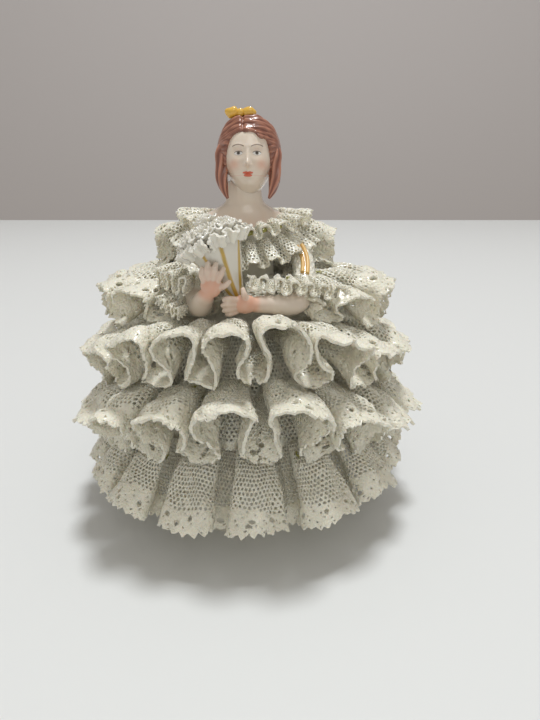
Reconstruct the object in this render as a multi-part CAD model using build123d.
from build123d import *
from math import cos, pi, radians, sin
from collections import namedtuple
import os

# Porcelain lady in a wide skirt of fired lace flounces, standing on a hollow cast underskirt.
# Millimetres. +Z is up, the figure faces -Y, +X is the figure's own left-hand side.
# The origin is on the floor, on the axis of the underskirt.

# ---------------------------------------------------------------- driving dimensions
# Three values around the figure: towards the front, at both sides, towards the back.
Around = namedtuple("Around", "front side back")

LACE_WALL = 1.1  # fired lace soaked in slip
FRILL_WALL = 0.8  # the small lace edgings of collar, cuffs and bouquet
SEAM = 0.002  # share of a fold left open where two lace strips butt

# Hollow cast underskirt: radius at each height, from the foot to the waist
CASTING_PROFILE = [(30, 0), (32, 8), (33, 20), (32.4, 33), (28.8, 50), (20.8, 66), (11.2, 77), (9, 80)]
CASTING_WALL = 3.0
FOOT_WIDTH = 5.0
FOOT_DEPTH = 3.0
WAIST_HEIGHT = 80.0
CAVITY_HEIGHT = 70.0

# Torso cross-sections: (height, half width, half depth, centre y)
TORSO_SECTIONS = [
    (80, 9.0, 7.4, 0.0),
    (85, 9.4, 7.8, -0.4),
    (90.5, 11.0, 9.0, -1.0),
    (95, 12.8, 8.8, -0.6),
    (98.2, 12.6, 7.2, 0.4),
    (100.4, 9.0, 6.2, 0.6),
    (102.6, 6.0, 5.2, 0.2),
    (107.5, 5.1, 4.8, -0.6),
]
NECKLINE_HEIGHT = 94.0

HEAD_CENTRE = (0.0, -1.8, 116.4)
HEAD_RADII = (7.5, 8.4, 10.2)
HEAD_TILT = 7.0  # degrees, face turned up
NECK_PIVOT = (0.0, 0.0, 106.0)
HAIR_CENTRE = (0.0, -0.7, 116.9)
HAIR_RADII = (9.3, 9.5, 10.2)
FACE_OPENING_CENTRE = (0.0, -9.5, 114.6)
FACE_OPENING_RADII = (6.5, 6.0, 8.8)
LOCK_STATIONS = [(7.9, -4.6, 113.0, 1.9), (8.0, -5.6, 109.0, 1.7), (7.3, -6.6, 105.6, 1.1), (6.2, -7.4, 102.9, 0.45)]
BOW_CENTRE = (-0.7, -1.6, 127.7)
BOW_LOBE_RADII = (2.4, 1.3, 1.5)
BOW_SPREAD = 2.35
BOW_KNOT_RADIUS = 1.3

# Arms: (x, y, z, radius) from shoulder to wrist, the figure's right arm first
RIGHT_ARM = [
    (-12.4, -1.0, 94.6, 3.6),
    (-15.2, -12.0, 86.0, 3.5),
    (-12.2, -27.0, 76.4, 3.5),
    (-9.6, -33.6, 79.6, 2.6),
    (-8.2, -35.1, 82.4, 1.5),
]
LEFT_ARM = [
    (12.4, -1.0, 94.6, 3.6),
    (18.0, -9.5, 85.5, 3.5),
    (16.5, -23.0, 76.2, 3.4),
    (5.6, -32.4, 77.4, 2.4),
    (1.8, -34.2, 78.0, 1.6),
]
# Hands: palm (centre, radii) and fingers as (root, knuckle, tip, radius)
RIGHT_PALM = ((-7.6, -35.4, 83.2), (2.9, 1.7, 3.3))
RIGHT_FINGERS = [
    ((-9.4, -35.8, 84.6), (-9.9, -36.2, 86.4), (-9.8, -35.7, 87.8), 0.9),
    ((-8.2, -36.0, 85.4), (-8.3, -36.6, 87.6), (-8.1, -36.1, 89.2), 0.95),
    ((-6.9, -36.0, 85.4), (-6.5, -36.6, 87.6), (-6.1, -36.1, 89.0), 0.95),
    ((-5.7, -35.8, 84.8), (-4.8, -36.3, 86.6), (-4.2, -35.8, 87.8), 0.9),
    ((-5.4, -35.4, 82.6), (-3.9, -36.0, 83.4), (-2.8, -35.8, 84.3), 0.9),
]
LEFT_PALM = ((1.2, -34.4, 78.0), (3.4, 1.9, 2.7))
LEFT_FINGERS = [
    ((-1.4, -35.2, 79.4), (-3.1, -36.0, 79.8), (-4.3, -35.5, 79.5), 0.9),
    ((-1.6, -35.2, 78.2), (-3.4, -36.1, 78.3), (-4.7, -35.6, 77.9), 0.92),
    ((-1.5, -35.0, 77.0), (-3.2, -35.8, 76.8), (-4.4, -35.3, 76.4), 0.9),
    ((-1.2, -34.7, 75.9), (-2.7, -35.3, 75.5), (-3.7, -34.9, 75.2), 0.8),
    ((1.6, -35.0, 79.6), (1.1, -35.8, 81.0), (0.8, -35.5, 82.2), 0.9),
]
SLEEVE_RIBBON_WIDTH = 1.6
SLEEVE_RIBBON_DEPTH = 0.5

# Bouquet: a paper cone with a gathered top
CONE_TIP = (-0.8, -30.6, 78.6)
CONE_MOUTH = (-6.8, -28.6, 92.3)
CONE_TIP_RADIUS = 1.2
CONE_MOUTH_RADIUS = 7.4
CONE_FINGER_GAP = 0.15
BLOSSOM_RADIUS = 2.5
BLOSSOM_RING_RADIUS = 3.5
BLOSSOM_COUNT = 6

# Flounces, from the hem of the skirt up. radii and heights are (front, side, back);
# crest and trough are how far the folds stand off the mean cone at the seam and at the hem.
# front_folds lists the crest angles at the front, from the figure's right to its left.
FLOUNCES = {
    "hem_flounce": dict(
        seam_radius=Around(35, 35, 35), seam_height=Around(34, 34, 34),
        hem_radius=Around(46, 50.5, 47), hem_height=Around(12.5, 5.2, 7),
        crest=(2.4, 6.6), trough=(2.4, 4.6), swell=Around(1, 1, 1),
        fold=(0.06, 0.13), spread=0.05, front_folds=(-60, -43, -20.5, 6.5, 29, 56), folds=17, strips=4),
    "lower_flounce": dict(
        seam_radius=Around(31, 31, 31), seam_height=Around(52.5, 51.5, 52),
        hem_radius=Around(49, 53, 51), hem_height=Around(46, 29, 30),
        crest=(2.4, 12.0), trough=(1.8, 6.6), swell=Around(1, 0.7, 0.7),
        fold=(0.08, 0.19), spread=0.06, front_folds=(-62, -44, -27, -4, 17.5, 40, 63), folds=17, strips=4),
    "middle_flounce": dict(
        seam_radius=Around(23, 23, 23), seam_height=Around(67.5, 67, 67),
        hem_radius=Around(48, 50.5, 48), hem_height=Around(65.0, 50.5, 50),
        crest=(2.2, 10.4), trough=(1.8, 5.8), swell=Around(1, 0.75, 0.75),
        fold=(0.08, 0.2), spread=0.06, front_folds=(-58, -36, -20, -4, 14, 33, 60), folds=17, strips=4),
    "upper_flounce": dict(
        seam_radius=Around(12.6, 12.6, 12.6), seam_height=Around(79, 79, 79),
        hem_radius=Around(23.5, 47, 47), hem_height=Around(74.6, 70.5, 69),
        crest=(1.6, 7.2), trough=(1.4, 5.4), swell=Around(0.3, 1, 1),
        fold=(0.06, 0.17), spread=0.05, front_folds=(-78, -56, -34, -12, 11, 34, 57, 79), folds=17, strips=3),
    "bustle_flounce": dict(
        seam_radius=Around(9.2, 9.6, 9.2), seam_height=Around(85.5, 85.5, 85.5),
        hem_radius=Around(30, 32, 36), hem_height=Around(86, 86, 85.5),
        crest=(2.0, 7.4), trough=(1.6, 4.8), swell=Around(1, 1, 1),
        fold=(0.06, 0.18), spread=0.06, front_folds=(), folds=8, strips=2, start=80, end=280),
}
FOLD_DRIFT = 1.6  # degrees, how unevenly the folds at the back are set
FOLD_SWING = 0.1  # share, how unevenly high the crests are

# Collar rows, on the same scheme
COLLARS = {
    "collar_upper_frill": dict(
        seam_radius=Around(9.8, 12.9, 8.6), seam_height=Around(95.6, 99.2, 98.2),
        hem_radius=Around(14.6, 21.4, 14.2), hem_height=Around(93.6, 97.6, 96.4),
        crest=(0.7, 2.1), trough=(0.6, 1.6), swell=Around(1, 1, 1),
        fold=(0.03, 0.12), spread=0.03, front_folds=(), folds=20, strips=1, start=-178, end=178),
    "collar_lower_frill": dict(
        seam_radius=Around(11.2, 14.2, 10.4), seam_height=Around(91.4, 94.6, 93.8),
        hem_radius=Around(17.0, 22.0, 15.0), hem_height=Around(86.2, 90.2, 89.8),
        crest=(0.7, 2.1), trough=(0.6, 1.6), swell=Around(1, 1, 1),
        fold=(0.03, 0.12), spread=0.03, front_folds=(), folds=18, strips=1, start=-178, end=178),
}
COLLAR_LEAF_RADII = (1.5, 0.9, 0.75)
COLLAR_LEAF_GAP = 0.2
COLLAR_LEAF_COUNT = 20

# Cuff frills: rails as three-point curves, (start, middle, end) of the seam and of the hem
CUFFS = {
    "right_cuff_upper_frill": dict(
        seam=((-19.6, -16.0, 86.5), (-15.6, -21.5, 84.6), (-12.6, -27.4, 82.6)),
        hem=((-26.0, -21.5, 83.5), (-20.5, -28.5, 82.0), (-14.0, -34.0, 82.6)),
        crest=(0.7, 2.8), trough=(0.7, 3.2), fold=(0.03, 0.14), spread=-0.04, folds=3),
    "right_cuff_lower_frill": dict(
        seam=((-18.6, -18.8, 79.2), (-16.8, -23.6, 77.0), (-14.2, -29.4, 75.2)),
        hem=((-25.4, -24.5, 76.6), (-21.5, -30.5, 75.4), (-16.6, -35.0, 74.9)),
        crest=(0.6, 1.7), trough=(0.6, 1.5), fold=(0.03, 0.12), spread=0.0, folds=4),
    "left_cuff_upper_frill": dict(
        seam=((26.0, -15.0, 80.4), (15.6, -20.8, 83.4), (3.2, -26.4, 83.4)),
        hem=((31.5, -21.0, 77.8), (17.5, -31.0, 81.0), (1.8, -34.5, 84.0)),
        crest=(0.7, 2.2), trough=(0.7, 1.9), fold=(0.03, 0.15), spread=0.03, folds=7),
}

# Bouquet edging: rings about the cone's own axis, (radius, distance from the mouth)
BOUQUET_FRILLS = {
    "bouquet_outer_frill": dict(
        seam=(7.9, -1.4), hem=(11.0, 1.6), crest=(0.5, 1.3), trough=(0.4, 1.2),
        fold=(0.03, 0.12), spread=0.03, folds=11),
    "bouquet_inner_frill": dict(
        seam=(6.7, 0.9), hem=(8.6, 5.0), crest=(0.4, 1.2), trough=(0.4, 1.1),
        fold=(0.03, 0.12), spread=0.03, folds=9),
}

RIB_CORNERS = [(0, 1), (1, 1), (1, -1), (0, -1)]  # (seam 0 or hem 1, outer face 1 or inner face -1)
FLOUNCE_POINTS = 12  # ribs to every fold
FRILL_POINTS = 8
CRUMB_SHARE = 0.02


# ---------------------------------------------------------------- lace folds
def around(values, angle):
    """Value at an angle from the front, easing from the front or back value to the side value."""
    end = values.front if cos(angle) >= 0 else values.back
    return values.side + (end - values.side) * cos(angle) ** 2


def fold_edges(crests, start, end):
    """Angles of the troughs on both sides of every crest."""
    inner = [(a + b) / 2 for a, b in zip(crests, crests[1:])]
    return [start] + inner + [end]


def ring_troughs(folds, front_folds=(), start=None, end=None):
    """Trough angles, in radians, of a flounce that runs around the figure."""
    if front_folds:
        first, last = front_folds[-1], front_folds[0] + 360
        rest = folds - len(front_folds)
        step = (last - first) / (rest + 1)
        crests = list(front_folds) + [
            first + step * (i + 1) + FOLD_DRIFT * sin(2.4 * i) for i in range(rest)
        ]
        seam = (crests[-1] - 360 + crests[0]) / 2
        start, end = seam, seam + 360
    else:
        step = (end - start) / folds
        crests = [start + step * (i + 0.5) for i in range(folds)]
    return [radians(a) for a in fold_edges(crests, start, end)]


def facet(a, b, c):
    """Flat triangle."""
    return Face(Wire.make_polygon([a, b, c]))


class Ruffle:
    """A strip of lace in fluted folds between a seam rail and a hem rail."""

    def __init__(self, seam, hem, troughs, crest, trough, fold, spread, wall, swell=None):
        self.seam, self.hem, self.troughs = seam, hem, troughs
        self.crest, self.trough, self.fold, self.spread = crest, trough, fold, spread
        self.wall, self.swell = wall, swell

    def rail_point(self, u, edge):
        """Point of the middle surface on the seam (edge 0) or the hem (edge 1), u counted in folds."""
        index = min(int(u), len(self.troughs) - 2)
        t = u - index
        low, high = self.troughs[index], self.troughs[index + 1]
        share = t + self.fold[edge] * sin(4 * pi * t) - self.spread * sin(2 * pi * t)
        along = low + (high - low) * share
        step = (self.troughs[-1] - self.troughs[0]) * 1e-5
        slope = self.hem(along) - self.seam(along)
        run = self.seam(along + step) - self.seam(along - step)
        normal = slope.cross(run).normalized()
        rise = (1 - cos(2 * pi * t)) / 2
        crest = self.crest[edge] * (1 + FOLD_SWING * sin(1.9 * index))
        lift = crest * rise - self.trough[edge] * (1 - rise)
        if self.swell:
            lift *= around(self.swell, along)
        rail = self.hem if edge else self.seam
        return rail(along) + normal * lift

    def face_point(self, u, edge, side):
        """Point on the outer (side 1) or inner (side -1) face of the lace."""
        step = 1e-4
        run = self.rail_point(u + step, edge) - self.rail_point(u - step, edge)
        across = self.rail_point(u, 1) - self.rail_point(u, 0)
        return self.rail_point(u, edge) + across.cross(run).normalized() * side * self.wall / 2

    def strip(self, first, last, points_per_fold):
        """Closed solid of the folds from first to last, in flat facets between straight ribs."""
        count = (last - first) * points_per_fold
        stations = [first + SEAM + (last - first - 2 * SEAM) * i / count for i in range(count + 1)]
        ribs = [[self.face_point(u, edge, side) for edge, side in RIB_CORNERS] for u in stations]
        faces = []
        for rib, following in zip(ribs, ribs[1:]):
            for corner in range(len(RIB_CORNERS)):
                a, b = rib[corner - 1], rib[corner]
                c, d = following[corner], following[corner - 1]
                faces += [facet(a, b, c), facet(a, c, d)]
        for a, b, c, d in (ribs[0], ribs[-1]):
            faces += [facet(a, b, c), facet(a, c, d)]
        return Solid(Shell(faces))


def ring_ruffle(wall, seam_radius, seam_height, hem_radius, hem_height, crest, trough, swell,
                fold, spread, front_folds, folds, strips, start=None, end=None):
    """A ruffle around the figure's axis."""

    def rail(radius, height):
        def at(angle):
            r = around(radius, angle)
            return Vector(r * sin(angle), -r * cos(angle), around(height, angle))

        return at

    troughs = ring_troughs(folds, front_folds, start, end)
    seam, hem = rail(seam_radius, seam_height), rail(hem_radius, hem_height)
    return Ruffle(seam, hem, troughs, crest, trough, fold, spread, wall, swell)


def curve_ruffle(wall, seam, hem, crest, trough, fold, spread, folds):
    """A ruffle between two three-point curves."""

    def rail(points):
        a, b, c = (Vector(*p) for p in points)
        return lambda s: a * (1 - s) ** 2 + b * (2 * s * (1 - s)) + c * s**2

    troughs = [i / folds for i in range(folds + 1)]
    return Ruffle(rail(seam), rail(hem), troughs, crest, trough, fold, spread, wall)


def cone_ruffle(wall, seam, hem, crest, trough, fold, spread, folds):
    """A ruffle around the bouquet's axis."""
    axis = (Vector(*CONE_MOUTH) - Vector(*CONE_TIP)).normalized()
    frame = Plane(origin=CONE_MOUTH, z_dir=axis)

    def rail(ring):
        radius, height = ring
        return lambda a: frame.from_local_coords(Vector(radius * sin(a), -radius * cos(a), height))

    troughs = [radians(1 + 358 * i / folds) for i in range(folds + 1)]
    return Ruffle(rail(seam), rail(hem), troughs, crest, trough, fold, spread, wall)


# ---------------------------------------------------------------- rounded shapes
def ellipsoid(centre, radii):
    return Pos(*centre) * scale(Sphere(1), by=radii)


def tapered_limb(stations):
    """Smooth limb through round sections, each (x, y, z, radius)."""
    points = [Vector(*station[:3]) for station in stations]
    path = Spline(*points)
    sections = []
    for point, station in zip(points, stations):
        direction = path.tangent_at(path.param_at_point(point))
        sections.append(Plane(origin=point, z_dir=direction) * Circle(station[3]))
    return loft(sections)


def hand(palm, fingers):
    centre, radii = palm
    shape = ellipsoid(centre, radii)
    for root, knuckle, tip, radius in fingers:
        shape = shape + tapered_limb([(*root, radius), (*knuckle, radius * 0.95), (*tip, radius * 0.6)])
    return shape


def tilted(shape):
    """Turns a part of the head back about the neck."""
    pivot = Pos(*NECK_PIVOT)
    return pivot * Rot(X=-HEAD_TILT) * pivot.inverse() * shape


nodes = {}


def add(name, shape, clear_of=()):
    """Keeps a part, cut back where the named parts already are, without crumbs left by the cut."""
    for other in clear_of:
        shape = shape - nodes[other]
    solids = shape.solids()
    biggest = max(solid.volume for solid in solids)
    kept = [solid for solid in solids if solid.volume > biggest * CRUMB_SHARE]
    nodes[name] = kept[0] if len(kept) == 1 else Compound(kept)


# ---------------------------------------------------------------- underskirt and body
def underskirt():
    waist_radius = CASTING_PROFILE[-1][0]
    outer = Spline(*CASTING_PROFILE)
    section = make_face(Curve() + [outer, Polyline(CASTING_PROFILE[-1], (0, WAIST_HEIGHT), (0, 0), CASTING_PROFILE[0])])
    body = revolve(Plane.XZ * section, Axis.Z)
    inner_points = [(r - CASTING_WALL, z) for r, z in CASTING_PROFILE if FOOT_DEPTH < z < CAVITY_HEIGHT]
    foot_inner = CASTING_PROFILE[0][0] - FOOT_WIDTH
    profile = [(foot_inner, 0), (foot_inner, FOOT_DEPTH)] + inner_points + [(waist_radius, CAVITY_HEIGHT)]
    hollow = make_face(Polyline(*profile, (0, CAVITY_HEIGHT), (0, 0), close=True))
    return body - revolve(Plane.XZ * hollow, Axis.Z)


add("underskirt_casting", underskirt())

torso = loft([Pos(0, y, z) * Ellipse(half_width, half_depth) for z, half_width, half_depth, y in TORSO_SECTIONS])
above = Pos(0, 0, NECKLINE_HEIGHT + 50) * Box(100, 100, 100)
add("bodice", torso - above)
head = tilted(ellipsoid(HEAD_CENTRE, HEAD_RADII))
add("bust_and_head", (torso & above) + head)

hair = ellipsoid(HAIR_CENTRE, HAIR_RADII) - ellipsoid(FACE_OPENING_CENTRE, FACE_OPENING_RADII)
add("hair_cap", tilted(hair), ["bust_and_head"])
for name, side in (("right_side_lock", -1), ("left_side_lock", 1)):
    lock = tapered_limb([(side * x, y, z, r) for x, y, z, r in LOCK_STATIONS])
    add(name, tilted(lock), ["bust_and_head", "hair_cap"])

bow_x, bow_y, bow_z = BOW_CENTRE
bow = Pos(bow_x, bow_y, bow_z) * Sphere(BOW_KNOT_RADIUS)
for side in (-1, 1):
    lobe = Rot(Y=side * 12) * scale(Sphere(1), by=BOW_LOBE_RADII)
    bow = bow + Pos(bow_x + side * BOW_SPREAD, bow_y, bow_z) * lobe
add("hair_bow", bow, ["hair_cap"])

add("right_arm", tapered_limb(RIGHT_ARM) - torso + hand(RIGHT_PALM, RIGHT_FINGERS))
add("left_arm", tapered_limb(LEFT_ARM) - torso + hand(LEFT_PALM, LEFT_FINGERS))

# ---------------------------------------------------------------- bouquet
axis = Vector(*CONE_MOUTH) - Vector(*CONE_TIP)
cone_frame = Plane(origin=CONE_TIP, z_dir=axis)
cone = cone_frame.location * Pos(0, 0, axis.length / 2) * Cone(CONE_TIP_RADIUS, CONE_MOUTH_RADIUS, axis.length)
add("bouquet_cone", cone, ["right_arm", "left_arm"])
mouth_frame = Plane(origin=CONE_MOUTH, z_dir=axis)
blossoms = mouth_frame.location * Pos(0, 0, BLOSSOM_RADIUS * 0.9) * Sphere(BLOSSOM_RADIUS)
for i in range(BLOSSOM_COUNT):
    turn = Rot(Z=360 * i / BLOSSOM_COUNT)
    blossoms = blossoms + mouth_frame.location * turn * Pos(BLOSSOM_RING_RADIUS, 0, BLOSSOM_RADIUS * 0.5) * Sphere(
        BLOSSOM_RADIUS)
add("bouquet_blossoms", blossoms, ["bouquet_cone"])
for name, sizes in BOUQUET_FRILLS.items():
    frill = cone_ruffle(FRILL_WALL, **sizes)
    add(name, frill.strip(0, sizes["folds"], FRILL_POINTS))

# ---------------------------------------------------------------- collar, cuffs
arms = ["right_arm", "left_arm"]
for name, sizes in COLLARS.items():
    collar = ring_ruffle(FRILL_WALL, **sizes)
    add(name, collar.strip(0, sizes["folds"], FRILL_POINTS), arms + ["bust_and_head"])


def collar_leaves():
    """Small green leaves lying between the two collar rows."""
    upper, lower = COLLARS["collar_upper_frill"], COLLARS["collar_lower_frill"]
    leaves = []
    for i in range(COLLAR_LEAF_COUNT):
        angle = 2 * pi * (i + 0.5) / COLLAR_LEAF_COUNT
        radius = around(lower["seam_radius"], angle) + COLLAR_LEAF_RADII[0] + COLLAR_LEAF_GAP
        height = (around(upper["seam_height"], angle) + around(lower["seam_height"], angle)) / 2
        leaf = Rot(Z=angle * 180 / pi + 30 * sin(2.4 * i)) * scale(Sphere(1), by=COLLAR_LEAF_RADII)
        leaves.append(Pos(radius * sin(angle), -radius * cos(angle), height) * leaf)
    return Compound(leaves)


add("collar_leaves", collar_leaves(), arms)

for name, sizes in CUFFS.items():
    cuff = curve_ruffle(FRILL_WALL, **sizes)
    add(name, cuff.strip(0, sizes["folds"], FRILL_POINTS), ["left_arm" if name.startswith("left") else "right_arm"])


def sleeve_ribbon():
    """Ribbon down the outside of the figure's left sleeve."""
    (ax, ay, az, ar), (bx, by, bz, br) = LEFT_ARM[0], LEFT_ARM[1]
    frame = Plane(origin=(bx, by, bz), x_dir=(0, -1, 0), z_dir=(ax - bx, ay - by, az - bz))
    length = (Vector(ax, ay, az) - Vector(bx, by, bz)).length * 0.7
    ring = Cylinder(br + SLEEVE_RIBBON_DEPTH, length) - Cylinder(br, length * 1.1)
    bands = Pos(br, 0, 0) * Box(br, SLEEVE_RIBBON_WIDTH, length)
    return frame.location * Pos(0, 0, length / 2) * (ring & bands)


add("sleeve_ribbon", sleeve_ribbon(), ["left_arm"])

# ---------------------------------------------------------------- skirt flounces
clear_of = {"upper_flounce": ["underskirt_casting"] + arms + list(CUFFS), "bustle_flounce": ["bodice"]}
for name, sizes in FLOUNCES.items():
    flounce = ring_ruffle(LACE_WALL, **sizes)
    folds, strips = sizes["folds"], sizes["strips"]
    for i in range(strips):
        first, last = folds * i // strips, folds * (i + 1) // strips
        add(f"{name}_{i + 1}", flounce.strip(first, last, FLOUNCE_POINTS), clear_of.get(name, ["underskirt_casting"]))

os.makedirs("parts", exist_ok=True)
for name, shape in nodes.items():
    export_step(shape, f"parts/{name}.step")
